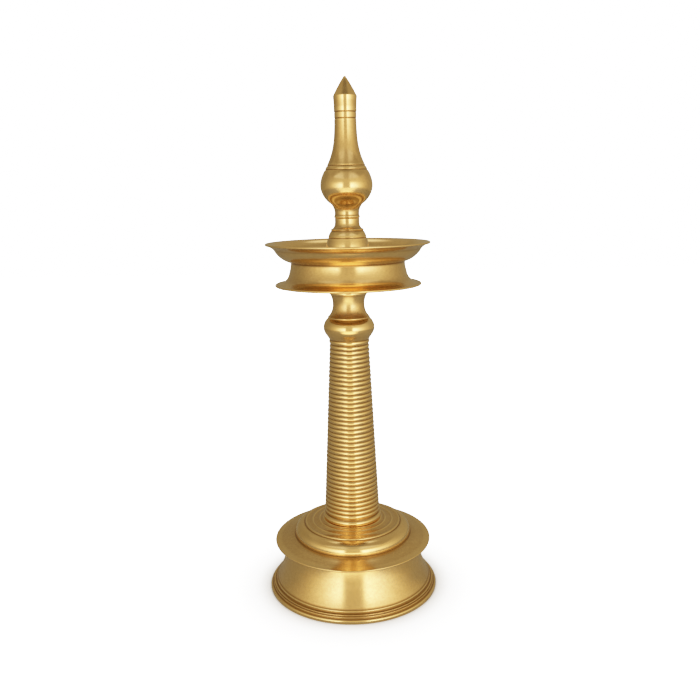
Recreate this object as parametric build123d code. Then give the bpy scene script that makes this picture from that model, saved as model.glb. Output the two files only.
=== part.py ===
"""Standing brass oil lamp (samai), built as turned castings that screw together.

Millimetres. The lamp stands on the plane z = 0 and its axis is Z. Every piece is turned about
that axis, so each one is drawn as a half section, radius against height, and revolved.
"""

import os

from build123d import *

# Heights of the joints between pieces
LAMP_HEIGHT = 457.0
FOOT_TOP = 44.5
COLUMN_SEAT = 65.0
NECK_SEAT = 253.0
TRAY_SEAT = 302.0
TRAY_FLOOR = 304.6
WASHER_TOP = 305.6
FINIAL_SEAT = 340.0

# Widest radii
FOOT_RADIUS = 77.9
FLANGE_RADIUS = 72.1
TRAY_RADIUS = 71.9
TRAY_LIP_RADIUS = 64.2
BULB_RADIUS = 22.5

# Ribs turned round the column
RIB_COUNT = 41
RIB_PITCH = 3.96
RIB_START = 71.4
RIB_DEPTH = 0.85
CREST_AT_FOOT = 25.45
CREST_AT_TOP = 17.5

# Threaded studs: radius over the thread, and how far each screws in
BASE_STUD_RADIUS = 8.0
TRAY_STUD_RADIUS = 7.0
FINIAL_STUD_RADIUS = 5.0
BASE_THREAD = 16.0
TRAY_THREAD = 14.0
FINIAL_THREAD = 12.0
PEDESTAL_THREAD = 13.0
RUNNING_GAP = 0.05
PASSING_GAP = 0.6
STUD_CHAMFER = 0.8

COLUMN_WALL = 4.6
FINE_GROOVE = 0.35


def at(radius, height):
    """A point of the half section."""
    return (radius, 0, height)


def line(*points):
    """Straight runs through points of the section."""
    return [Line(at(*a), at(*b)) for a, b in zip(points, points[1:])]


def curve(*points):
    """One smooth curve through points of the section."""
    return [Spline(*[at(*p) for p in points])]


def arc(start, middle, end):
    """A circular arc through three points of the section."""
    return [ThreePointArc(at(*start), at(*middle), at(*end))]


def bead(start, end, rise):
    """An arc from start to end that stands out by rise, or cuts in when rise is negative.

    Out is to the right of the way from start to end: away from the axis on a climbing outline.
    """
    run = (end[0] - start[0], end[1] - start[1])
    length = (run[0] ** 2 + run[1] ** 2) ** 0.5
    middle = (
        (start[0] + end[0]) / 2 + rise * run[1] / length,
        (start[1] + end[1]) / 2 - rise * run[0] / length,
    )
    return arc(start, middle, end)


def turned(edges, label):
    """The solid made by turning a closed section about the lamp's axis."""
    section = make_face(Wire(edges))
    solid = revolve(section, Axis.Z).solid()
    solid.label = label
    return solid


def base_foot():
    """The hollow flared foot ring that the lamp stands on, with three turned grooves."""
    rim_top = (77.0, 3.3)
    beads = [(75.7, 4.7), (74.7, 6.1), (72.4, 8.5)]
    wall_foot = (71.6, 9.3)
    wall_top = (59.6, FOOT_TOP)
    outside = line((FOOT_RADIUS, 0), (FOOT_RADIUS, 1.2))
    outside += bead((FOOT_RADIUS, 1.2), rim_top, 0.35)
    groove_from = rim_top
    for number, (radius, height) in enumerate(beads):
        groove_to = (radius, height)
        outside += bead(groove_from, groove_to, -0.55)
        if number < 2:
            ridge_to = (radius - 0.55, height + 0.55)
            outside += bead(groove_to, ridge_to, 0.2)
            groove_from = ridge_to
    outside += bead(beads[-1], wall_foot, 0.15)
    outside += curve(wall_foot, (67.9, 16.2), (64.6, 24.6), (61.6, 34.2), wall_top)
    inside = line(wall_top, (56.6, FOOT_TOP))
    inside += curve((56.6, FOOT_TOP), (58.6, 34.0), (61.4, 24.0), (64.6, 15.0), (69.4, 6.6))
    inside += curve((69.4, 6.6), (71.8, 4.2), (73.2, 0))
    floor = line((73.2, 0), (FOOT_RADIUS, 0))
    return turned(outside + inside + floor, "base_foot")


def base_dome():
    """The domed plate that closes the foot, with an overhanging flange and a tapped boss."""
    bore = BASE_STUD_RADIUS + RUNNING_GAP
    boss = 14.0
    boss_foot = COLUMN_SEAT - BASE_THREAD - 2.0
    seat_edge = (26.6, COLUMN_SEAT)
    top = line((bore, COLUMN_SEAT), seat_edge)
    top += bead(seat_edge, (29.9, 63.7), 0.3)
    top += bead((29.9, 63.7), (31.3, 63.5), -0.35)
    top += bead((31.3, 63.5), (36.2, 62.7), 0.3)
    top += bead((36.2, 62.7), (37.6, 62.6), -0.35)
    top += bead((37.6, 62.6), (42.6, 62.0), 0.3)
    top += bead((42.6, 62.0), (44.2, 61.7), -0.4)
    top += bead((44.2, 61.7), (45.0, 60.8), 0.25)
    top += curve((45.0, 60.8), (49.6, 59.2), (52.7, 55.8), (53.7, 51.2))
    top += bead((53.7, 51.2), (54.6, 50.2), 0.35)
    top += bead((54.6, 50.2), (71.2, 46.3), 0.45)
    edge = arc((71.2, 46.3), (FLANGE_RADIUS, 45.5), (71.4, 44.7))
    under = line((71.4, 44.7), (66.0, FOOT_TOP), (56.5, FOOT_TOP), (56.5, 41.0), (53.4, 41.0))
    under += curve((53.4, 41.0), (52.9, 46.4), (49.4, 54.4), (42.0, 59.0))
    under += curve((42.0, 59.0), (30.0, 60.6), (19.0, 61.4))
    under += bead((19.0, 61.4), (boss, 57.0), 1.2)
    under += line((boss, 57.0), (boss, boss_foot), (bore, boss_foot), (bore, COLUMN_SEAT))
    return turned(top + edge + under, "base_dome")


def stud(radius, low, high, label):
    """A threaded stud, as a plain rod of the radius over its thread, chamfered at both ends."""
    narrow = radius - STUD_CHAMFER
    outline = line(
        (0, low),
        (narrow, low),
        (radius, low + STUD_CHAMFER),
        (radius, high - STUD_CHAMFER),
        (narrow, high),
        (0, high),
        (0, low),
    )
    return turned(outline, label)


def base_stud():
    """The stud in the bottom of the column, which screws into the dome's boss."""
    return stud(BASE_STUD_RADIUS, COLUMN_SEAT - BASE_THREAD, COLUMN_SEAT + 14.0, "base_stud")


def tray_stud():
    """The long stud from the top of the column, through the neck and tray, into the pedestal."""
    top = WASHER_TOP + PEDESTAL_THREAD
    return stud(TRAY_STUD_RADIUS, NECK_SEAT - TRAY_THREAD, top, "tray_stud")


def finial_stud():
    """The stud in the bottom of the finial, which screws into the top of the pedestal."""
    return stud(
        FINIAL_STUD_RADIUS, FINIAL_SEAT - FINIAL_THREAD, FINIAL_SEAT + 12.0, "finial_stud"
    )


def rib_point(number):
    """The bottom of one groove between the column's ribs."""
    height = RIB_START + number * RIB_PITCH
    share = number / RIB_COUNT
    crest = CREST_AT_FOOT + share * (CREST_AT_TOP - CREST_AT_FOOT)
    return (crest - RIB_DEPTH, height)


def column():
    """The ribbed, hollow column, with a foot bead below and a bulb collar on top."""
    low_bore = BASE_STUD_RADIUS + RUNNING_GAP
    high_bore = TRAY_STUD_RADIUS + RUNNING_GAP
    core_foot = COLUMN_SEAT + 16.0
    core_top = NECK_SEAT - 17.0
    collar_foot = (CREST_AT_TOP, 233.8)
    outside = line((low_bore, COLUMN_SEAT), (24.6, COLUMN_SEAT))
    outside += arc((24.6, COLUMN_SEAT), (27.0, 67.8), (24.8, 70.6))
    outside += line((24.8, 70.6), rib_point(0))
    for number in range(RIB_COUNT - 1):
        outside += bead(rib_point(number), rib_point(number + 1), RIB_DEPTH)
    outside += bead(rib_point(RIB_COUNT - 1), collar_foot, RIB_DEPTH)
    outside += curve(
        collar_foot,
        (19.4, 236.8),
        (22.2, 241.4),
        (22.75, 245.0),
        (21.6, 249.3),
        (18.6, NECK_SEAT),
    )
    inside = line((18.6, NECK_SEAT), (high_bore, NECK_SEAT), (high_bore, core_top))
    inside += line(
        (high_bore, core_top),
        (CREST_AT_TOP - COLUMN_WALL, core_top - 9.0),
        (CREST_AT_FOOT - COLUMN_WALL, core_foot + 4.0),
        (CREST_AT_FOOT - COLUMN_WALL - 4.0, core_foot),
        (low_bore, core_foot),
        (low_bore, COLUMN_SEAT),
    )
    return turned(outside + inside, "column")


def neck():
    """The waisted, cored neck between the column and the tray, which flares to carry the tray."""
    bore = TRAY_STUD_RADIUS + RUNNING_GAP
    outside = line((bore, NECK_SEAT), (18.2, NECK_SEAT))
    outside += bead((18.2, NECK_SEAT), (18.0, 254.6), 0.6)
    outside += curve((18.0, 254.6), (15.6, 258.2), (14.1, 266.2), (16.1, 273.9))
    outside += bead((16.1, 273.9), (16.9, 275.6), 0.3)
    outside += curve((16.9, 275.6), (17.4, 282.0), (19.4, 289.6), (23.6, 296.4))
    outside += line((23.6, 296.4), (24.4, 297.2), (24.4, TRAY_SEAT), (20.4, TRAY_SEAT))
    core = curve((20.4, TRAY_SEAT), (18.6, 296.0), (14.0, 285.8), (11.0, 272.0), (10.2, 265.0))
    core += line((10.2, 265.0), (bore, 262.0), (bore, NECK_SEAT))
    return turned(outside + core, "neck")


def oil_tray():
    """The oil bowl with its everted rim, on a waisted hollow drum that flares to a lower lip."""
    bore = TRAY_STUD_RADIUS + PASSING_GAP
    waist = (49.9, 302.0)
    lip_top = (62.6, 283.8)
    lip_foot = (62.8, 282.2)
    rim_foot = (70.9, 317.7)
    rim_top = (70.8, 319.4)
    lip = arc(lip_foot, (TRAY_LIP_RADIUS, 282.9), lip_top)
    drum = curve(lip_top, (58.0, 285.2), (54.0, 288.0), (51.4, 293.6), waist)
    crease = line(waist, (50.1, 303.0))
    bowl = curve((50.1, 303.0), (56.0, 305.2), (60.9, 309.1), (64.4, 313.9))
    flare = curve((64.4, 313.9), (66.6, 315.8), rim_foot)
    rim = arc(rim_foot, (TRAY_RADIUS, 318.7), rim_top)
    inside = curve(rim_top, (66.0, 318.1), (62.2, 314.9))
    inside += curve((62.2, 314.9), (58.8, 310.8), (53.6, 307.0), (46.0, TRAY_FLOOR))
    inside += line((46.0, TRAY_FLOOR), (bore, TRAY_FLOOR), (bore, TRAY_SEAT), (43.6, TRAY_SEAT))
    under = bead((43.6, TRAY_SEAT), (47.2, 298.6), -1.1)
    under += curve((47.2, 298.6), (48.8, 292.8), (51.8, 286.7), (56.6, 283.2), lip_foot)
    return turned(lip + drum + crease + bowl + flare + rim + inside + under, "oil_tray")


def tray_washer():
    """The rubber washer that keeps oil from running down the stud hole."""
    inner = TRAY_STUD_RADIUS + PASSING_GAP
    outer = 20.4
    outline = line(
        (inner, TRAY_FLOOR),
        (outer, TRAY_FLOOR),
        (outer, WASHER_TOP),
        (inner, WASHER_TOP),
        (inner, TRAY_FLOOR),
    )
    return turned(outline, "tray_washer")


def pedestal():
    """The bell-shaped pedestal that clamps the tray and carries the finial."""
    low_bore = TRAY_STUD_RADIUS + RUNNING_GAP
    high_bore = FINIAL_STUD_RADIUS + RUNNING_GAP
    socket_top = WASHER_TOP + PEDESTAL_THREAD + 2.0
    socket_floor = FINIAL_SEAT - FINIAL_THREAD - 1.5
    outside = line((low_bore, WASHER_TOP), (21.2, WASHER_TOP))
    outside += bead((21.2, WASHER_TOP), (21.0, 309.4), 0.8)
    outside += curve((21.0, 309.4), (19.3, 312.4), (18.4, 317.0), (17.1, 322.9))
    outside += bead((17.1, 322.9), (16.6, 323.9), -FINE_GROOVE)
    outside += bead((16.6, 323.9), (13.9, 329.5), 0.4)
    outside += line((13.9, 329.5), (14.2, 330.3), (13.8, 330.9), (12.9, 331.1))
    outside += curve((12.9, 331.1), (11.2, 333.4), (10.6, 337.0), (10.7, 339.3))
    outside += line((10.7, 339.3), (10.3, FINIAL_SEAT), (high_bore, FINIAL_SEAT))
    inside = line(
        (high_bore, FINIAL_SEAT),
        (high_bore, socket_floor),
        (0, socket_floor),
        (0, socket_top),
        (low_bore, socket_top),
        (low_bore, WASHER_TOP),
    )
    return turned(outside + inside, "pedestal")


def finial():
    """The finial: a ring bead, a full bulb, a long waisted spire and a conical tip."""
    bore = FINIAL_STUD_RADIUS + RUNNING_GAP
    socket_top = FINIAL_SEAT + 12.5
    outside = line((bore, FINIAL_SEAT), (10.6, FINIAL_SEAT))
    outside += bead((10.6, FINIAL_SEAT), (10.7, 342.3), 0.55)
    outside += curve((10.7, 342.3), (10.9, 347.0), (13.4, 351.9))
    outside += curve(
        (13.4, 351.9),
        (20.5, 359.8),
        (BULB_RADIUS, 366.7),
        (21.4, 374.2),
        (18.6, 380.2),
    )
    outside += bead((18.6, 380.2), (18.0, 381.2), -FINE_GROOVE)
    outside += bead((18.0, 381.2), (16.8, 383.6), 0.1)
    outside += bead((16.8, 383.6), (16.3, 384.6), -FINE_GROOVE)
    outside += curve((16.3, 384.6), (12.9, 392.8), (10.7, 402.0), (9.6, 414.0), (9.4, 422.2))
    outside += bead((9.4, 422.2), (9.4, 423.2), -FINE_GROOVE)
    outside += line((9.4, 423.2), (9.4, 427.4))
    outside += bead((9.4, 427.4), (9.65, 428.4), -FINE_GROOVE)
    outside += bead((9.65, 428.4), (10.1, 440.6), -0.15)
    outside += bead((10.1, 440.6), (9.9, 441.2), 0.1)
    outside += bead((9.9, 441.2), (0.9, 456.6), 0.35)
    outside += curve((0.9, 456.6), (0.5, 456.9), (0, LAMP_HEIGHT))
    outside += line((0, LAMP_HEIGHT), (0, socket_top), (bore, socket_top), (bore, FINIAL_SEAT))
    return turned(outside, "finial")


PIECES = [
    base_foot,
    base_dome,
    base_stud,
    column,
    tray_stud,
    neck,
    oil_tray,
    tray_washer,
    pedestal,
    finial_stud,
    finial,
]

os.makedirs("parts", exist_ok=True)
for piece in PIECES:
    export_step(piece(), f"parts/{piece.__name__}.step")
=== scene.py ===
"""Looks of the standing brass oil lamp.

Every casting is turned again here as a fine lathe mesh, from the same half section as its CAD
node, with eased edges, uneven hand-cut ribs and cut threads. Outlines are lists of runs in
millimetres, each run being (points, surface) with points as (radius, height). Meshes and the
studio are in metres.
"""

import math
import random

import bpy
import numpy as np
from mathutils import Euler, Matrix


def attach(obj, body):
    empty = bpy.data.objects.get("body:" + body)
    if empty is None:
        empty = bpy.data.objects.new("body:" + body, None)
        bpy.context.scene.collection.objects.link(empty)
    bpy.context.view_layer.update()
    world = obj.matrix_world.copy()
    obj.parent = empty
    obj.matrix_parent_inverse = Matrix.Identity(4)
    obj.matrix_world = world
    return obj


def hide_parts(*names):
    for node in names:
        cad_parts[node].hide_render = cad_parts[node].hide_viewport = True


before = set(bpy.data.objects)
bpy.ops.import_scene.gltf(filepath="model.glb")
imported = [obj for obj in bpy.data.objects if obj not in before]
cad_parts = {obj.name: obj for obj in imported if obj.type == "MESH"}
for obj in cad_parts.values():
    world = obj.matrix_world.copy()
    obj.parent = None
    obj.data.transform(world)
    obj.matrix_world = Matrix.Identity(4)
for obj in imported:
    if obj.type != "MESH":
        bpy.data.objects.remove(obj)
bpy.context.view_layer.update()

MM = 0.001

# Heights of the joints between pieces, in millimetres
FOOT_TOP = 44.5
COLUMN_SEAT = 65.0
NECK_SEAT = 253.0
TRAY_SEAT = 302.0
TRAY_FLOOR = 304.6
WASHER_TOP = 305.6
FINIAL_SEAT = 340.0
LAMP_HEIGHT = 457.0

# Widest radii
FOOT_RADIUS = 77.9
FLANGE_RADIUS = 72.1
TRAY_RADIUS = 71.9
TRAY_LIP_RADIUS = 64.2
BULB_RADIUS = 22.5

# Ribs turned round the column
RIB_COUNT = 41
RIB_PITCH = 3.96
RIB_START = 71.4
RIB_DEPTH = 0.85
CREST_AT_FOOT = 25.45
CREST_AT_TOP = 17.5
COLUMN_WALL = 4.6

# Threads
BASE_STUD_RADIUS = 8.0
TRAY_STUD_RADIUS = 7.0
FINIAL_STUD_RADIUS = 5.0
BASE_THREAD = 16.0
TRAY_THREAD = 14.0
FINIAL_THREAD = 12.0
PEDESTAL_THREAD = 13.0
BASE_PITCH = 2.0
TRAY_PITCH = 2.0
FINIAL_PITCH = 1.5
THREAD_DEPTH = 0.5
RUNNING_GAP = 0.05
PASSING_GAP = 0.6
STUD_CHAMFER = 0.8
FINE_GROOVE = 0.35

# Fineness of the meshes
SEGMENTS = 176
STUD_SEGMENTS = 96
STEP_SEEN = 0.8
STEP_HIDDEN = 2.4
STEP_THREAD = 0.22
ARC_STEP = 0.24
EDGE_EASE = 0.15
SHARP = math.radians(18)

# A groove this deep, over this far to each side, counts as a full cavity; cavities are darkened
# in tarnish colour, partly patina and partly painted shade
CAVITY_REACH = 1.1
CAVITY_DEPTH = 0.5

# Surfaces: turned and polished outside, cut by a tap or die, and left as cast inside
POLISHED, CUT, AS_CAST = 0.0, 0.5, 1.0


# ---- Outlines ----


def line(*points, surface=POLISHED):
    """Straight runs through the points."""
    return [([a, b], surface) for a, b in zip(points, points[1:])]


def arc(start, middle, end, surface=POLISHED):
    """A circular run through three points."""
    (ax, ay), (bx, by), (cx, cy) = start, middle, end
    d = 2 * (ax * (by - cy) + bx * (cy - ay) + cx * (ay - by))
    a2, b2, c2 = ax * ax + ay * ay, bx * bx + by * by, cx * cx + cy * cy
    x = (a2 * (by - cy) + b2 * (cy - ay) + c2 * (ay - by)) / d
    y = (a2 * (cx - bx) + b2 * (ax - cx) + c2 * (bx - ax)) / d
    radius = math.dist((x, y), start)
    first = math.atan2(ay - y, ax - x)
    to_middle = (math.atan2(by - y, bx - x) - first) % math.tau
    sweep = (math.atan2(cy - y, cx - x) - first) % math.tau
    if to_middle > sweep:
        sweep -= math.tau
    steps = max(3, math.ceil(abs(sweep) / ARC_STEP))
    angles = [first + sweep * i / steps for i in range(1, steps)]
    between = [(x + radius * math.cos(a), y + radius * math.sin(a)) for a in angles]
    return [([start, *between, end], surface)]


def bead(start, end, rise, surface=POLISHED):
    """An arc that stands out by rise to the right of the way from start to end."""
    run = (end[0] - start[0], end[1] - start[1])
    length = math.hypot(*run)
    middle = (
        (start[0] + end[0]) / 2 + rise * run[1] / length,
        (start[1] + end[1]) / 2 - rise * run[0] / length,
    )
    return arc(start, middle, end, surface)


def curve(*points, surface=POLISHED):
    """A smooth run through the points: a cubic spline over the length of its chords."""
    p = np.array(points, float)
    h = np.linalg.norm(np.diff(p, axis=0), axis=1)
    d = np.diff(p, axis=0) / h[:, None]
    system, right = np.eye(len(p)), np.zeros((len(p), 2))
    right[0] = d[0] + (d[0] - d[1]) * h[0] / (h[0] + h[1])
    right[-1] = d[-1] + (d[-1] - d[-2]) * h[-1] / (h[-1] + h[-2])
    for i in range(1, len(p) - 1):
        system[i, i - 1 : i + 2] = h[i], 2 * (h[i - 1] + h[i]), h[i - 1]
        right[i] = 3 * (h[i] * d[i - 1] + h[i - 1] * d[i])
    slopes = np.linalg.solve(system, right)
    step = STEP_SEEN if surface == POLISHED else STEP_HIDDEN
    run = [points[0]]
    for i in range(len(p) - 1):
        steps = max(3, math.ceil(h[i] / step))
        for t in np.linspace(0, 1, steps + 1)[1:-1]:
            bend = t * (1 - t) * ((1 - t) * (slopes[i] - d[i]) - t * (slopes[i + 1] - d[i]))
            run.append(tuple(p[i] + t * (p[i + 1] - p[i]) + h[i] * bend))
        run.append(points[i + 1])
    return [(run, surface)]


def tapped(radius, start, end, pitch):
    """The wall of a threaded hole between two heights, its grooves cut outward as rings."""
    way = math.copysign(pitch, end - start)
    count = int(abs(end - start) / pitch - 0.5)
    first = (start + end - count * way) / 2
    points = [(radius, start)]
    for i in range(count):
        for share, depth in ((0.08, 0), (0.5, THREAD_DEPTH), (0.92, 0)):
            points.append((radius + depth * pitch, first + (i + share) * way))
    return line(*points, (radius, end), surface=CUT)


# ---- Meshes ----


def rings_of(runs):
    """The runs as rings (radius, height, surface, cavity), with the metal on their left.

    The second result says whether the outline closes on itself; if not, it starts and ends on
    the axis.
    """
    chain = []
    for run, surface in runs:
        chain += [(*point, surface) for point in filled(run, surface)[:-1]]
    end, closed = runs[-1][0][-1], runs[0][0][0] == runs[-1][0][-1]
    if not closed:
        chain.append((*end, runs[-1][1]))
    following = chain[1:] + chain[:1]
    if sum(a[0] * b[1] - b[0] * a[1] for a, b in zip(chain, following)) < 0:
        chain.reverse()
    rings = []
    for i, (*corner, surface) in enumerate(chain):
        at_axis = not closed and i in (0, len(chain) - 1)
        before, after = chain[i - 1][:2], chain[(i + 1) % len(chain)][:2]
        if at_axis or surface == CUT or abs(turn_at(before, corner, after)) < SHARP:
            rings.append((*corner, surface))
            continue
        room = 0.45 * min(math.dist(before, corner), math.dist(corner, after))
        start = toward(corner, before, min(EDGE_EASE, room))
        stop = toward(corner, after, min(EDGE_EASE, room))
        middle = [(a + 2 * c + b) / 4 for a, b, c in zip(start, stop, corner)]
        rings += [(*point, surface) for point in (start, middle, stop)]
    return [(*ring, cavity) for ring, cavity in zip(rings, cavities(rings, closed))], closed


def cavities(rings, closed):
    """How far each ring lies below the outline on both sides of it: 1 in a deep groove."""
    points = np.array([ring[:2] for ring in rings])
    if closed:
        points = np.vstack([points, points, points, points[:1]])
    way = np.concatenate([[0], np.cumsum(np.linalg.norm(np.diff(points, axis=0), axis=1))])

    def along(offset):
        return np.stack([np.interp(way + offset, way, points[:, k]) for k in (0, 1)], axis=1)

    before, after = along(-CAVITY_REACH), along(CAVITY_REACH)
    chord, below = after - before, points - before
    depth = (chord[:, 0] * below[:, 1] - chord[:, 1] * below[:, 0])
    depth = np.clip(depth / np.linalg.norm(chord, axis=1) / CAVITY_DEPTH, -1, 1)
    return depth[len(rings) : 2 * len(rings)] if closed else depth


def filled(run, surface):
    """The run's points; a straight run gets points along it, two of them near its ends."""
    if len(run) > 2 or surface == CUT:
        return run
    (a, b), length = run, math.dist(*run)
    near = min(2 * EDGE_EASE, length / 3)
    inner = max(1, math.ceil((length - 2 * near) / (STEP_HIDDEN * 2)))
    ways = [near + (length - 2 * near) * i / inner for i in range(inner + 1)]
    return [a, *(toward(a, b, way) for way in ways), b]


def turn_at(before, at, after):
    """The left turn of the outline at a point, in radians."""
    first = math.atan2(at[1] - before[1], at[0] - before[0])
    second = math.atan2(after[1] - at[1], after[0] - at[0])
    return (second - first + math.pi) % math.tau - math.pi


def toward(point, target, reach):
    """The point moved by reach toward the target."""
    length = math.dist(point, target)
    return tuple(p + (t - p) * reach / length for p, t in zip(point, target))


def lathe(name, rings, closed, segments=SEGMENTS, wall=None):
    """A mesh object of rings about the axis. wall(radius, height, angle) may cut into them."""
    vertices, starts = [], []
    for radius, height, _, _ in rings:
        starts.append(len(vertices))
        if radius < 1e-6:
            vertices.append((0.0, 0.0, height * MM))
            continue
        for s in range(segments):
            angle = math.tau * s / segments
            r = wall(radius, height, angle) if wall else radius
            vertices.append((r * MM * math.cos(angle), r * MM * math.sin(angle), height * MM))
    faces = []
    for a in range(len(rings) if closed else len(rings) - 1):
        b = (a + 1) % len(rings)
        for s in range(segments):
            t = (s + 1) % segments
            if rings[a][0] < 1e-6:
                faces.append((starts[a], starts[b] + t, starts[b] + s))
            elif rings[b][0] < 1e-6:
                faces.append((starts[a] + s, starts[a] + t, starts[b]))
            else:
                faces.append((starts[a] + s, starts[a] + t, starts[b] + t, starts[b] + s))
    mesh = bpy.data.meshes.new(name)
    mesh.from_pydata(vertices, [], faces)
    sizes = np.diff(starts + [len(vertices)])
    for label, column in (("surface", 2), ("cavity", 3)):
        values = np.repeat([ring[column] for ring in rings], sizes)
        mesh.attributes.new(label, "FLOAT", "POINT").data.foreach_set("value", values)
    mesh.shade_smooth()
    piece = bpy.data.objects.new(name, mesh)
    bpy.context.scene.collection.objects.link(piece)
    return piece


def place(piece, body, node, material):
    """The piece rides on a body in place of its CAD node, with the finish of a slot."""
    piece.data.materials.append(material)
    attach(piece, body)
    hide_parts(node)


def stud(name, radius, low, high, pitch):
    """A brass stud with a right-hand thread, chamfered ends and a centre-drill mark at each."""
    narrow, drilled, dimple = radius - STUD_CHAMFER, 0.2 * radius, 0.12 * radius
    steps = math.ceil((high - low - 2 * STUD_CHAMFER) / STEP_THREAD)
    wall = np.linspace(low + STUD_CHAMFER, high - STUD_CHAMFER, steps + 1)
    rings = [(0, low + dimple), (drilled, low), (narrow, low)]
    rings += [(radius, height) for height in wall]
    rings += [(narrow, high), (drilled, high), (0, high - dimple)]

    def cut(r, height, angle):
        if r < radius:
            return r
        phase = abs((height / pitch - angle / math.tau) % 1.0 - 0.5)
        form = min(1.0, max(0.0, 2.5 * phase - 0.15))
        fade = min(1.0, (height - wall[0]) / pitch, (wall[-1] - height) / pitch)
        return r - THREAD_DEPTH * pitch * (1 - form) * max(0.0, fade)

    return lathe(name, [(*ring, CUT, 0.0) for ring in rings], False, STUD_SEGMENTS, cut)


# ---- Half sections of the castings ----


def foot_outline():
    """The hollow flared foot ring, with three turned grooves above its rim."""
    rim_top = (77.0, 3.3)
    beads = [(75.7, 4.7), (74.7, 6.1), (72.4, 8.5)]
    wall_foot, wall_top = (71.6, 9.3), (59.6, FOOT_TOP)
    runs = line((FOOT_RADIUS, 0), (FOOT_RADIUS, 1.2))
    runs += bead((FOOT_RADIUS, 1.2), rim_top, 0.35)
    groove_from = rim_top
    for number, groove_to in enumerate(beads):
        runs += bead(groove_from, groove_to, -0.55)
        if number < 2:
            ridge_to = (groove_to[0] - 0.55, groove_to[1] + 0.55)
            runs += bead(groove_to, ridge_to, 0.2)
            groove_from = ridge_to
    runs += bead(beads[-1], wall_foot, 0.15)
    runs += curve(wall_foot, (67.9, 16.2), (64.6, 24.6), (61.6, 34.2), wall_top)
    runs += line(wall_top, (56.6, FOOT_TOP), surface=AS_CAST)
    shoulder = [(56.6, FOOT_TOP), (58.6, 34.0), (61.4, 24.0), (64.6, 15.0), (69.4, 6.6)]
    runs += curve(*shoulder, surface=AS_CAST)
    runs += curve((69.4, 6.6), (71.8, 4.2), (73.2, 0), surface=AS_CAST)
    return runs + line((73.2, 0), (FOOT_RADIUS, 0))


def dome_outline():
    """The domed plate with its overhanging flange, three fine ridges and a tapped boss."""
    bore, boss, boss_foot = BASE_STUD_RADIUS + RUNNING_GAP, 14.0, COLUMN_SEAT - BASE_THREAD - 2
    seat_edge = (26.6, COLUMN_SEAT)
    runs = line((bore, COLUMN_SEAT), seat_edge)
    runs += bead(seat_edge, (29.9, 63.7), 0.3)
    runs += bead((29.9, 63.7), (31.3, 63.5), -0.35)
    runs += bead((31.3, 63.5), (36.2, 62.7), 0.3)
    runs += bead((36.2, 62.7), (37.6, 62.6), -0.35)
    runs += bead((37.6, 62.6), (42.6, 62.0), 0.3)
    runs += bead((42.6, 62.0), (44.2, 61.7), -0.4)
    runs += bead((44.2, 61.7), (45.0, 60.8), 0.25)
    runs += curve((45.0, 60.8), (49.6, 59.2), (52.7, 55.8), (53.7, 51.2))
    runs += bead((53.7, 51.2), (54.6, 50.2), 0.35)
    runs += bead((54.6, 50.2), (71.2, 46.3), 0.45)
    runs += arc((71.2, 46.3), (FLANGE_RADIUS, 45.5), (71.4, 44.7))
    runs += line((71.4, 44.7), (66.0, FOOT_TOP))
    under = [(66.0, FOOT_TOP), (56.5, FOOT_TOP), (56.5, 41.0), (53.4, 41.0)]
    runs += line(*under, surface=AS_CAST)
    runs += curve((53.4, 41.0), (52.9, 46.4), (49.4, 54.4), (42.0, 59.0), surface=AS_CAST)
    runs += curve((42.0, 59.0), (30.0, 60.6), (19.0, 61.4), surface=AS_CAST)
    runs += bead((19.0, 61.4), (boss, 57.0), 1.2, surface=AS_CAST)
    runs += line((boss, 57.0), (boss, boss_foot), (bore, boss_foot), surface=AS_CAST)
    return runs + tapped(bore, boss_foot, COLUMN_SEAT, BASE_PITCH)


def column_outline():
    """The ribbed, hollow column, with a foot bead below and a bulb collar on top.

    No two of its ribs were cut quite alike.
    """
    uneven = random.Random(41)
    low_bore, high_bore = BASE_STUD_RADIUS + RUNNING_GAP, TRAY_STUD_RADIUS + RUNNING_GAP
    core_foot, core_top = COLUMN_SEAT + 16, NECK_SEAT - 17
    grooves = []
    for number in range(RIB_COUNT):
        crest = CREST_AT_FOOT + (CREST_AT_TOP - CREST_AT_FOOT) * number / RIB_COUNT
        depth = RIB_DEPTH + uneven.uniform(-0.06, 0.06)
        height = RIB_START + RIB_PITCH * number + uneven.uniform(-0.16, 0.16)
        grooves.append((crest - depth, height))
    collar_foot = (CREST_AT_TOP, 233.8)
    runs = line((low_bore, COLUMN_SEAT), (24.6, COLUMN_SEAT))
    runs += arc((24.6, COLUMN_SEAT), (27.0, 67.8), (24.8, 70.6))
    runs += line((24.8, 70.6), grooves[0])
    for low, high in zip(grooves, grooves[1:] + [collar_foot]):
        runs += bead(low, high, RIB_DEPTH + uneven.uniform(-0.05, 0.05))
    collar = [(19.4, 236.8), (22.2, 241.4), (22.75, 245.0), (21.6, 249.3), (18.6, NECK_SEAT)]
    runs += curve(collar_foot, *collar)
    runs += line((18.6, NECK_SEAT), (high_bore, NECK_SEAT))
    runs += tapped(high_bore, NECK_SEAT, core_top, TRAY_PITCH)
    core = [(high_bore, core_top), (CREST_AT_TOP - COLUMN_WALL, core_top - 9)]
    core += [(CREST_AT_FOOT - COLUMN_WALL, core_foot + 4)]
    core += [(CREST_AT_FOOT - COLUMN_WALL - 4, core_foot), (low_bore, core_foot)]
    runs += line(*core, surface=AS_CAST)
    return runs + tapped(low_bore, core_foot, COLUMN_SEAT, BASE_PITCH)


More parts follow.
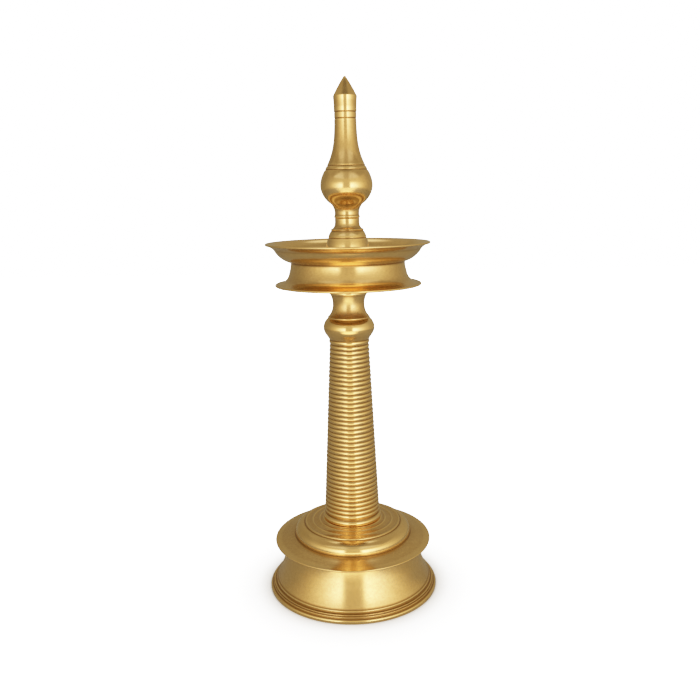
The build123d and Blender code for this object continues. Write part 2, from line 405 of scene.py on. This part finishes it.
def neck_outline():
    """The waisted, cored neck between the column and the tray, flared to carry the tray."""
    bore = TRAY_STUD_RADIUS + RUNNING_GAP
    runs = line((bore, NECK_SEAT), (18.2, NECK_SEAT))
    runs += bead((18.2, NECK_SEAT), (18.0, 254.6), 0.6)
    runs += curve((18.0, 254.6), (15.6, 258.2), (14.1, 266.2), (16.1, 273.9))
    runs += bead((16.1, 273.9), (16.9, 275.6), 0.3)
    runs += curve((16.9, 275.6), (17.4, 282.0), (19.4, 289.6), (23.6, 296.4))
    runs += line((23.6, 296.4), (24.4, 297.2), (24.4, TRAY_SEAT), (20.4, TRAY_SEAT))
    core = [(20.4, TRAY_SEAT), (18.6, 296.0), (14.0, 285.8), (11.0, 272.0), (10.2, 265.0)]
    runs += curve(*core, surface=AS_CAST)
    runs += line((10.2, 265.0), (bore, 262.0), surface=AS_CAST)
    return runs + tapped(bore, 262.0, NECK_SEAT, TRAY_PITCH)


def tray_outline():
    """The oil bowl with its everted rim, on a waisted hollow drum flared to a lower lip."""
    bore = TRAY_STUD_RADIUS + PASSING_GAP
    waist, lip_top, lip_foot = (49.9, 302.0), (62.6, 283.8), (62.8, 282.2)
    rim_foot, rim_top = (70.9, 317.7), (70.8, 319.4)
    runs = arc(lip_foot, (TRAY_LIP_RADIUS, 282.9), lip_top)
    runs += curve(lip_top, (58.0, 285.2), (54.0, 288.0), (51.4, 293.6), waist)
    runs += line(waist, (50.1, 303.0))
    runs += curve((50.1, 303.0), (56.0, 305.2), (60.9, 309.1), (64.4, 313.9))
    runs += curve((64.4, 313.9), (66.6, 315.8), rim_foot)
    runs += arc(rim_foot, (TRAY_RADIUS, 318.7), rim_top)
    runs += curve(rim_top, (66.0, 318.1), (62.2, 314.9))
    runs += curve((62.2, 314.9), (58.8, 310.8), (53.6, 307.0), (46.0, TRAY_FLOOR))
    runs += line((46.0, TRAY_FLOOR), (bore, TRAY_FLOOR))
    runs += line((bore, TRAY_FLOOR), (bore, TRAY_SEAT), (43.6, TRAY_SEAT), surface=AS_CAST)
    runs += bead((43.6, TRAY_SEAT), (47.2, 298.6), -1.1, surface=AS_CAST)
    hollow = [(47.2, 298.6), (48.8, 292.8), (51.8, 286.7), (56.6, 283.2), lip_foot]
    return runs + curve(*hollow, surface=AS_CAST)


def washer_outline():
    """The rubber washer that keeps oil from running down the stud hole, its edges rounded."""
    inner, outer, soft = TRAY_STUD_RADIUS + PASSING_GAP, 20.4, 0.35
    low, high = TRAY_FLOOR, WASHER_TOP
    runs = line((inner, low), (outer - soft, low))
    runs += bead((outer - soft, low), (outer - soft, high), 0.35)
    runs += line((outer - soft, high), (inner, high))
    return runs + line((inner, high), (inner, low))


def pedestal_outline():
    """The bell-shaped pedestal that clamps the tray and carries the finial."""
    low_bore, high_bore = TRAY_STUD_RADIUS + RUNNING_GAP, FINIAL_STUD_RADIUS + RUNNING_GAP
    socket_top = WASHER_TOP + PEDESTAL_THREAD + 2
    socket_floor = FINIAL_SEAT - FINIAL_THREAD - 1.5
    runs = line((0, socket_top), (low_bore, socket_top), surface=CUT)
    runs += tapped(low_bore, socket_top, WASHER_TOP, TRAY_PITCH)
    runs += line((low_bore, WASHER_TOP), (21.2, WASHER_TOP))
    runs += bead((21.2, WASHER_TOP), (21.0, 309.4), 0.8)
    runs += curve((21.0, 309.4), (19.3, 312.4), (18.4, 317.0), (17.1, 322.9))
    runs += bead((17.1, 322.9), (16.6, 323.9), -FINE_GROOVE)
    runs += bead((16.6, 323.9), (13.9, 329.5), 0.4)
    runs += line((13.9, 329.5), (14.2, 330.3), (13.8, 330.9), (12.9, 331.1))
    runs += curve((12.9, 331.1), (11.2, 333.4), (10.6, 337.0), (10.7, 339.3))
    runs += line((10.7, 339.3), (10.3, FINIAL_SEAT), (high_bore, FINIAL_SEAT))
    runs += tapped(high_bore, FINIAL_SEAT, socket_floor, FINIAL_PITCH)
    return runs + line((high_bore, socket_floor), (0, socket_floor), surface=CUT)


def finial_outline():
    """The finial: a ring bead, a full bulb, a long waisted spire and a conical tip."""
    bore, socket_top = FINIAL_STUD_RADIUS + RUNNING_GAP, FINIAL_SEAT + 12.5
    runs = line((0, socket_top), (bore, socket_top), surface=CUT)
    runs += tapped(bore, socket_top, FINIAL_SEAT, FINIAL_PITCH)
    runs += line((bore, FINIAL_SEAT), (10.6, FINIAL_SEAT))
    runs += bead((10.6, FINIAL_SEAT), (10.7, 342.3), 0.55)
    runs += curve((10.7, 342.3), (10.9, 347.0), (13.4, 351.9))
    bulb = [(13.4, 351.9), (20.5, 359.8), (BULB_RADIUS, 366.7), (21.4, 374.2), (18.6, 380.2)]
    runs += curve(*bulb)
    runs += bead((18.6, 380.2), (18.0, 381.2), -FINE_GROOVE)
    runs += bead((18.0, 381.2), (16.8, 383.6), 0.1)
    runs += bead((16.8, 383.6), (16.3, 384.6), -FINE_GROOVE)
    runs += curve((16.3, 384.6), (12.9, 392.8), (10.7, 402.0), (9.6, 414.0), (9.4, 422.2))
    runs += bead((9.4, 422.2), (9.4, 423.2), -FINE_GROOVE)
    runs += line((9.4, 423.2), (9.4, 427.4))
    runs += bead((9.4, 427.4), (9.65, 428.4), -FINE_GROOVE)
    runs += bead((9.65, 428.4), (10.1, 440.6), -0.15)
    runs += bead((10.1, 440.6), (9.9, 441.2), 0.1)
    runs += bead((9.9, 441.2), (0.9, 456.6), 0.35)
    return runs + curve((0.9, 456.6), (0.5, 456.9), (0, LAMP_HEIGHT))


# ---- Materials ----


def node(tree, kind, inputs=None, **settings):
    """A shader node, with its settings, and its inputs set to values or linked to sockets."""
    made = tree.nodes.new(kind)
    for name, value in settings.items():
        setattr(made, name, value)
    for name, value in (inputs or {}).items():
        if isinstance(value, bpy.types.NodeSocket):
            tree.links.new(value, made.inputs[name])
        else:
            made.inputs[name].default_value = value
    return made


def math_node(tree, operation, *values, clamp=False):
    """The result of a Math node."""
    inputs = dict(enumerate(values))
    return node(tree, "ShaderNodeMath", inputs, operation=operation, use_clamp=clamp).outputs[0]


def mix_colour(tree, share, first, second):
    """The result of mixing two colours."""
    inputs = {"Factor": share}
    made = node(tree, "ShaderNodeMix", inputs, data_type="RGBA")
    for socket, value in zip((made.inputs[6], made.inputs[7]), (first, second)):
        if isinstance(value, bpy.types.NodeSocket):
            tree.links.new(value, socket)
        else:
            socket.default_value = (*value, 1.0)
    return made.outputs[2]


def noise(tree, at, scale, detail=2.0, roughness=0.5):
    """The value of a noise texture, with features about 1 / scale metres wide."""
    inputs = {"Vector": at, "Scale": scale, "Detail": detail, "Roughness": roughness}
    return node(tree, "ShaderNodeTexNoise", inputs).outputs["Fac"]


def new_material(name):
    """An empty material with a Principled shader: (material, node tree, shader)."""
    material = bpy.data.materials.new(name)
    material.use_nodes = True
    tree = material.node_tree
    return material, tree, tree.nodes["Principled BSDF"]


BRASS = (0.88, 0.62, 0.30)
# Tarnish colour, for random specks and for the creases, where it is partly patina and partly
# painted shade
TARNISH_AND_SHADE = (0.34, 0.17, 0.05)
CAST_SKIN = (0.30, 0.19, 0.085)

# How much of each channel is left where handling has deepened the brass
BLOOM = (0.93, 0.86, 0.72)

# Marks on the brass, in marks per metre: two sizes of turning line, smudges and specks
FINE_LINES, BROAD_LINES, SMUDGES, SPECKS = 1900.0, 260.0, 38.0, 420.0

# Heights in metres of the two sizes of turning line, of the cast skin and of rubber's grain
FINE_HEIGHT, BROAD_HEIGHT, SKIN_HEIGHT, RUBBER_HEIGHT = 1.2e-5, 3.0e-5, 9.0e-4, 6.0e-5


def brass(name, gloss=0.13, marks=1.0, crease_tarnish_and_shade=1.0, seed=0.0):
    """Turned brass: tool marks round the axis, handling smudges, and creases darkened in tarnish
    colour, partly patina and partly painted shade.

    gloss is the roughness between marks, marks scales the turning lines, the crease factor scales
    the darkening of the creases (partly tarnish, partly painted shade), and seed moves the
    pattern.
    """
    material, tree, shader = new_material(name)
    at = node(tree, "ShaderNodeTexCoord").outputs["Object"]
    at = node(tree, "ShaderNodeVectorMath", {0: at, 1: (0, 0, seed)}).outputs[0]
    split = node(tree, "ShaderNodeSeparateXYZ", {0: at}).outputs
    flat = node(tree, "ShaderNodeCombineXYZ", {"X": split["X"], "Y": split["Y"]}).outputs[0]
    radius = node(tree, "ShaderNodeVectorMath", {0: flat}, operation="LENGTH").outputs["Value"]
    turning = node(tree, "ShaderNodeCombineXYZ", {"X": radius, "Z": split["Z"]}).outputs[0]
    fine = noise(tree, turning, FINE_LINES, 3.0)
    broad = noise(tree, turning, BROAD_LINES, 2.0)
    smudge = noise(tree, at, SMUDGES, 4.0, 0.6)
    speckle = noise(tree, at, SPECKS, 5.0, 0.65)
    cavity = node(tree, "ShaderNodeAttribute", attribute_name="cavity").outputs["Fac"]
    surface = node(tree, "ShaderNodeAttribute", attribute_name="surface").outputs["Fac"]

    # Random specks of tarnish, plus the creases darkened by the cavity mask: partly patina,
    # partly painted shade
    dirt_and_shade = math_node(tree, "MULTIPLY_ADD", speckle, 0.6, -0.15)
    dirt_and_shade = math_node(tree, "MULTIPLY_ADD", cavity, 1.1 * crease_tarnish_and_shade, dirt_and_shade, clamp=True)
    bloom = math_node(tree, "MULTIPLY_ADD", smudge, 1.6, -0.55, clamp=True)
    deeper = tuple(channel * share for channel, share in zip(BRASS, BLOOM))
    shade = mix_colour(tree, bloom, BRASS, deeper)
    shade = mix_colour(tree, dirt_and_shade, shade, TARNISH_AND_SHADE)
    shade = mix_colour(tree, surface, shade, mix_colour(tree, speckle, CAST_SKIN, BRASS))

    sheen = math_node(tree, "MULTIPLY_ADD", broad, 0.10, gloss - 0.05)
    sheen = math_node(tree, "MULTIPLY_ADD", bloom, 0.05, sheen)
    sheen = math_node(tree, "MULTIPLY_ADD", dirt_and_shade, 0.18, sheen)
    sheen = math_node(tree, "MULTIPLY_ADD", surface, 0.34, sheen, clamp=True)

    cut = node(tree, "ShaderNodeBump", {"Height": fine, "Distance": FINE_HEIGHT * marks})
    inputs = {"Height": broad, "Distance": BROAD_HEIGHT * marks, "Normal": cut.outputs[0]}
    wave = node(tree, "ShaderNodeBump", inputs)
    grain = math_node(tree, "MULTIPLY", speckle, surface)
    inputs = {"Height": grain, "Distance": SKIN_HEIGHT, "Normal": wave.outputs[0]}
    skin = node(tree, "ShaderNodeBump", inputs)
    tangent = node(tree, "ShaderNodeTangent", direction_type="RADIAL", axis="Z")

    tree.links.new(shade, shader.inputs["Base Color"])
    tree.links.new(sheen, shader.inputs["Roughness"])
    tree.links.new(skin.outputs[0], shader.inputs["Normal"])
    tree.links.new(tangent.outputs[0], shader.inputs["Tangent"])
    shader.inputs["Metallic"].default_value = 1.0
    shader.inputs["Anisotropic"].default_value = 0.5
    shader.inputs["Anisotropic Rotation"].default_value = 0.25
    return material


def rubber(name):
    """Black washer rubber with a fine moulded grain."""
    material, tree, shader = new_material(name)
    at = node(tree, "ShaderNodeTexCoord").outputs["Object"]
    grain = noise(tree, at, 1500.0, 4.0, 0.6)
    patch = noise(tree, at, 160.0, 2.0)
    shade = mix_colour(tree, patch, (0.012, 0.011, 0.010), (0.035, 0.032, 0.028))
    bump = node(tree, "ShaderNodeBump", {"Height": grain, "Distance": RUBBER_HEIGHT})
    tree.links.new(shade, shader.inputs["Base Color"])
    sheen = math_node(tree, "MULTIPLY_ADD", patch, 0.25, 0.5)
    tree.links.new(sheen, shader.inputs["Roughness"])
    tree.links.new(bump.outputs[0], shader.inputs["Normal"])
    return material


# ---- The lamp ----

# The foot's creases are darkened most, partly tarnish and partly painted shade, and its wall is a
# little duller than the rest
FOOT_LOOK = {"gloss": 0.16, "crease_tarnish_and_shade": 2.6}

CASTINGS = [
    # piece, outline, body, CAD node, slot, look
    ("foot_casting", foot_outline, "base", "base_foot", "brass_foot", FOOT_LOOK),
    ("dome_casting", dome_outline, "base", "base_dome", "brass_dome", {}),
    ("column_casting", column_outline, "column", "column", "brass_column", {}),
    ("neck_casting", neck_outline, "tray", "neck", "brass_neck", {"gloss": 0.24}),
    ("tray_casting", tray_outline, "tray", "oil_tray", "brass_tray", {}),
    ("pedestal_casting", pedestal_outline, "tray", "pedestal", "brass_pedestal", {}),
    ("finial_casting", finial_outline, "finial", "finial", "brass_finial", {"gloss": 0.14}),
]
# Metres by which each casting's marks are moved on from the last one's, so that none repeat
PATTERN_SHIFT = 0.9

for number, (name, outline, body, cad_node, slot, look) in enumerate(CASTINGS):
    casting = lathe(name, *rings_of(outline()))
    finish = brass(slot, seed=PATTERN_SHIFT * number, **look)
    place(casting, body, cad_node, finish)

washer = lathe("washer", *rings_of(washer_outline()))
place(washer, "tray", "tray_washer", rubber("washer_rubber"))

thread_brass = brass("brass_thread", gloss=0.3, marks=0.5, crease_tarnish_and_shade=0.4)
STUDS = [
    # piece, radius, low end, high end, pitch, body and CAD node
    ("dome_stud", BASE_STUD_RADIUS, COLUMN_SEAT - BASE_THREAD, COLUMN_SEAT + 14, BASE_PITCH,
     "column_screw", "base_stud"),
    ("neck_stud", TRAY_STUD_RADIUS, NECK_SEAT - TRAY_THREAD, WASHER_TOP + PEDESTAL_THREAD,
     TRAY_PITCH, "tray_screw", "tray_stud"),
    ("spire_stud", FINIAL_STUD_RADIUS, FINIAL_SEAT - FINIAL_THREAD, FINIAL_SEAT + 12,
     FINIAL_PITCH, "finial_screw", "finial_stud"),
]
for name, radius, low, high, pitch, body, cad_node in STUDS:
    place(stud(name, radius, low, high, pitch), body, cad_node, thread_brass)


# ---- Studio ----

# Light that the film shows as white, and how fast the film gets there
WHITE, FILM_SPEED = 4.0, 1.2

TENT_RADIUS, TENT_HEIGHT = 1.35, 1.2
TENT_SIDES = 96
FLOOR_REACH = 3.0

# How much brighter than the front the right side is, and how much darker the left side
RIGHT_SIDE = 0.2

# Radiance low on the tent's wall: in the gap between the two bars, in a bar, and at the back.
# The azimuths, in degrees either way from the front, where the gap turns into a bar and where
# the bar starts to fade, and how far and how steeply it fades
GAP_GLOW, BAR_GLOW, BACK_GLOW = 0.8, 4.5, 0.3
GAP_CHANGE = (12, 20)
FADE_START, FADE_REACH, FADE_POWER = 22, 31, 1.2

# Radiance high on the wall, in front and at the back, the azimuths between which it changes,
# and the heights between which low turns into high
HIGH_GLOW = (0.85, 0.36)
HIGH_CHANGE = (40, 125)
RISE = (0.38, 0.9)

# Radiance of the roof in its dim spot and away from it, and the glow added toward its front
# edge, in the middle and at the sides
ROOF_GLOW = (0.2, 0.4)
FRONT_GLOW = (0.2, 0.75)

# The middle of the dim spot, and where each change between two radiances starts and stops: by
# distance from that middle, by distance from the lamp's plane of symmetry, and by Y
DIM_SPOT = (0.0, -0.15)
DIM_CHANGE, SIDE_CHANGE, FRONT_CHANGE = (0.2, 0.45), (0.12, 0.42), (-0.4, -0.7)

# Pools of light: x, y, radius where the light starts and where it is full, radiance, and the
# factor on distances along X
ROOF_POOL = (0.0, 0.34, 0.5, 0.2, 1.2, 1.0)
NEAR_POOL = (0.0, -0.42, 0.25, 0.1, 3.0, 0.7)
FAR_POOL = (0.0, -0.8, 0.45, 0.15, 1.7, 0.5)

# The contact shadow on the floor: how near a thing darkens it, how steeply, and the distances
# from the lamp between which it ends
SHADOW_REACH, SHADOW_POWER = 0.05, 4.5
SHADOW_END = (0.15, 0.3)

# Dim light is warm, as from a gold-lit room, and bright light is paler. On the wall and on the
# roof, the radiance from which light starts to pale and where it is done
DIM_TINT, BRIGHT_TINT = (1.14, 0.92, 0.52), (1.01, 0.92, 0.70)
WALL_PALING, ROOF_PALING = (1.0, 3.0), (0.4, 1.2)

# The camera's place, degrees down from level and round its own axis, and focal length in mm
CAMERA_PLACE = (0.0005, -0.656, 0.3564)
CAMERA_DOWN, CAMERA_ROLL, CAMERA_LENS = 11.46, -1.02, 38.4


def smooth_step(tree, value, start, stop, low, high):
    """Low up to start and high from stop, and a smooth change between them."""
    inputs = {"Value": value, "From Min": start, "From Max": stop, "To Min": low, "To Max": high}
    return node(tree, "ShaderNodeMapRange", inputs, interpolation_type="SMOOTHSTEP").outputs[0]


def position(tree):
    """The X, Y and Z of the shaded point."""
    at = node(tree, "ShaderNodeTexCoord").outputs["Object"]
    return node(tree, "ShaderNodeSeparateXYZ", {0: at}).outputs


def distance(tree, split, x, y, squeeze=1.0):
    """How far the shaded point is from (x, y), with distances along X squeezed."""
    inputs = {"X": math_node(tree, "MULTIPLY", split["X"], squeeze), "Y": split["Y"]}
    flat = node(tree, "ShaderNodeCombineXYZ", inputs).outputs[0]
    inputs = {0: flat, 1: (x, y, 0.0)}
    return node(tree, "ShaderNodeVectorMath", inputs, operation="DISTANCE").outputs["Value"]


def pool(tree, split, x, y, start, full, glow, squeeze):
    """The radiance of one pool of light at the shaded point."""
    return smooth_step(tree, distance(tree, split, x, y, squeeze), start, full, 0.0, glow)


def glowing(name):
    """A material that only shines: (material, node tree, emission node)."""
    material = bpy.data.materials.new(name)
    material.use_nodes = True
    tree = material.node_tree
    tree.nodes.remove(tree.nodes["Principled BSDF"])
    shine = node(tree, "ShaderNodeEmission")
    tree.links.new(shine.outputs[0], tree.nodes["Material Output"].inputs["Surface"])
    return material, tree, shine


def shine_with(tree, shine, glow, dim, bright):
    """Makes the emission node as bright as glow, paler as glow goes from dim to bright."""
    inputs = {"Value": glow, "From Min": dim, "From Max": bright}
    paleness = node(tree, "ShaderNodeMapRange", inputs).outputs[0]
    tint = mix_colour(tree, paleness, DIM_TINT, BRIGHT_TINT)
    tree.links.new(tint, shine.inputs["Color"])
    tree.links.new(glow, shine.inputs["Strength"])


def low_glow(tree, azimuth):
    """The light low on the wall: a gap in front, a bar beside it and a fade to the back."""
    past = math_node(tree, "SUBTRACT", azimuth, FADE_START)
    past = math_node(tree, "DIVIDE", math_node(tree, "MAXIMUM", past, 0.0), FADE_REACH)
    past = math_node(tree, "POWER", past, FADE_POWER)
    left = math_node(tree, "EXPONENT", math_node(tree, "MULTIPLY", past, -1.0))
    bar = math_node(tree, "MULTIPLY_ADD", left, BAR_GLOW - BACK_GLOW, BACK_GLOW)
    aside = smooth_step(tree, azimuth, *GAP_CHANGE, 0.0, 1.0)
    return node(tree, "ShaderNodeMix", {"Factor": aside, "A": GAP_GLOW, "B": bar}).outputs[0]


def wall_glow():
    """The wall's light: two bright bars in front, fading round the sides and upward."""
    material, tree, shine = glowing("tent_wall_light")
    split = position(tree)
    front = math_node(tree, "MULTIPLY", split["Y"], -1.0)
    turn = math_node(tree, "ARCTAN2", split["X"], front)
    azimuth = math_node(tree, "ABSOLUTE", math_node(tree, "MULTIPLY", turn, 180 / math.pi))
    low = low_glow(tree, azimuth)
    high = smooth_step(tree, azimuth, *HIGH_CHANGE, *HIGH_GLOW)
    rise = smooth_step(tree, split["Z"], *RISE, 0.0, 1.0)
    glow = node(tree, "ShaderNodeMix", {"Factor": rise, "A": low, "B": high}).outputs[0]
    more_right = math_node(tree, "MULTIPLY_ADD", split["X"], RIGHT_SIDE / TENT_RADIUS, 1.0)
    glow = math_node(tree, "MULTIPLY", glow, more_right)
    shine_with(tree, shine, glow, *WALL_PALING)
    return material


def roof_glow():
    """The roof's light: dim overhead, with brighter fields behind and left and right in front."""
    material, tree, shine = glowing("tent_roof_light")
    split = position(tree)
    dim = smooth_step(tree, distance(tree, split, *DIM_SPOT), *DIM_CHANGE, *ROOF_GLOW)
    sideways = math_node(tree, "ABSOLUTE", split["X"])
    aside = smooth_step(tree, sideways, *SIDE_CHANGE, *FRONT_GLOW)
    ahead = smooth_step(tree, split["Y"], *FRONT_CHANGE, 0.0, 1.0)
    glow = math_node(tree, "MULTIPLY_ADD", ahead, aside, dim)
    glow = math_node(tree, "ADD", glow, pool(tree, split, *ROOF_POOL))
    shine_with(tree, shine, glow, *ROOF_PALING)
    return material


def make_stage(name, corners, faces, material, hidden=True):
    """A stage mesh, which the camera doesn't see if hidden."""
    mesh = bpy.data.meshes.new(name)
    mesh.from_pydata(corners, [], faces)
    mesh.materials.append(material)
    made = bpy.data.objects.new(name, mesh)
    made.visible_camera = not hidden
    bpy.context.scene.collection.objects.link(made)


def light_tent():
    """A round tent of lit cloth about the lamp, brightest left and right of the camera."""
    corners, faces = [], []
    for s in range(TENT_SIDES):
        angle = math.tau * s / TENT_SIDES
        x, y = TENT_RADIUS * math.cos(angle), TENT_RADIUS * math.sin(angle)
        corners += [(x, y, 0.0), (x, y, TENT_HEIGHT)]
        t = (s + 1) % TENT_SIDES
        faces.append((2 * s, 2 * s + 1, 2 * t + 1, 2 * t))
    make_stage("tent_wall", corners, faces, wall_glow())
    roof = [2 * s + 1 for s in range(TENT_SIDES)]
    make_stage("tent_roof", corners, [roof], roof_glow())


def floor_paint():
    """Pale matt paint, lit in two pools, and white to the camera but for a contact shadow."""
    material, tree, shader = new_material("floor_white")
    grain = noise(tree, node(tree, "ShaderNodeTexCoord").outputs["Object"], 30.0, 3.0)
    shade = mix_colour(tree, grain, (0.47, 0.47, 0.47), (0.49, 0.49, 0.49))
    tree.links.new(shade, shader.inputs["Base Color"])
    shader.inputs["Roughness"].default_value = 0.6
    split = position(tree)
    near, far = pool(tree, split, *NEAR_POOL), pool(tree, split, *FAR_POOL)
    lit = math_node(tree, "MAXIMUM", near, far)
    crevice = node(tree, "ShaderNodeAmbientOcclusion", {"Distance": SHADOW_REACH}, samples=16)
    clear = smooth_step(tree, distance(tree, split, 0.0, 0.0), *SHADOW_END, 0.0, 1.0)
    open_air = math_node(tree, "POWER", crevice.outputs["AO"], SHADOW_POWER)
    open_air = math_node(tree, "MAXIMUM", open_air, clear)
    white = math_node(tree, "MULTIPLY", open_air, WHITE)
    seen = node(tree, "ShaderNodeLightPath").outputs["Is Camera Ray"]
    lift = node(tree, "ShaderNodeMix", {"Factor": seen, "A": lit, "B": white}).outputs[0]
    tree.links.new(lift, shader.inputs["Emission Strength"])
    tint = mix_colour(tree, seen, DIM_TINT, (1.0, 1.0, 1.0))
    tree.links.new(tint, shader.inputs["Emission Color"])
    return material


def backdrop():
    """A plain white floor and surroundings."""
    reach = FLOOR_REACH
    corners = [(-reach, -reach, 0), (reach, -reach, 0), (reach, reach, 0), (-reach, reach, 0)]
    make_stage("floor", corners, [(0, 1, 2, 3)], floor_paint(), hidden=False)
    world = bpy.data.worlds.new("studio")
    world.use_nodes = True
    background = world.node_tree.nodes["Background"]
    background.inputs["Color"].default_value = (1, 1, 1, 1)
    background.inputs["Strength"].default_value = WHITE
    bpy.context.scene.world = world


def film_response():
    """Bright light fades softly to white, as on film: 1 - exp(-FILM_SPEED * light).

    The curve's points lie closer together where the light is dim.
    """
    settings = bpy.context.scene.view_settings
    settings.view_transform = "Standard"
    settings.use_curve_mapping = True
    mapping = settings.curve_mapping
    mapping.white_level = (WHITE, WHITE, WHITE)
    response = mapping.curves[3]
    stops, crowding = 9, 1.8
    for i in range(1, stops):
        share = (i / stops) ** crowding
        response.points.new(share, 1 - math.exp(-FILM_SPEED * WHITE * share))
    mapping.update()


def make_camera():
    """The camera, in front of the lamp, a little above the tray and looking down."""
    camera = bpy.data.objects.new("camera", bpy.data.cameras.new("camera"))
    camera.location = CAMERA_PLACE
    tilt = Euler((math.radians(90 - CAMERA_DOWN), 0, 0)).to_matrix()
    roll = Euler((0, 0, math.radians(CAMERA_ROLL))).to_matrix()
    camera.rotation_euler = (tilt @ roll).to_euler()
    camera.data.lens, camera.data.sensor_width = CAMERA_LENS, 36.0
    camera.data.clip_start = 0.01
    bpy.context.scene.collection.objects.link(camera)
    bpy.context.scene.camera = camera


light_tent()
backdrop()
film_response()
make_camera()
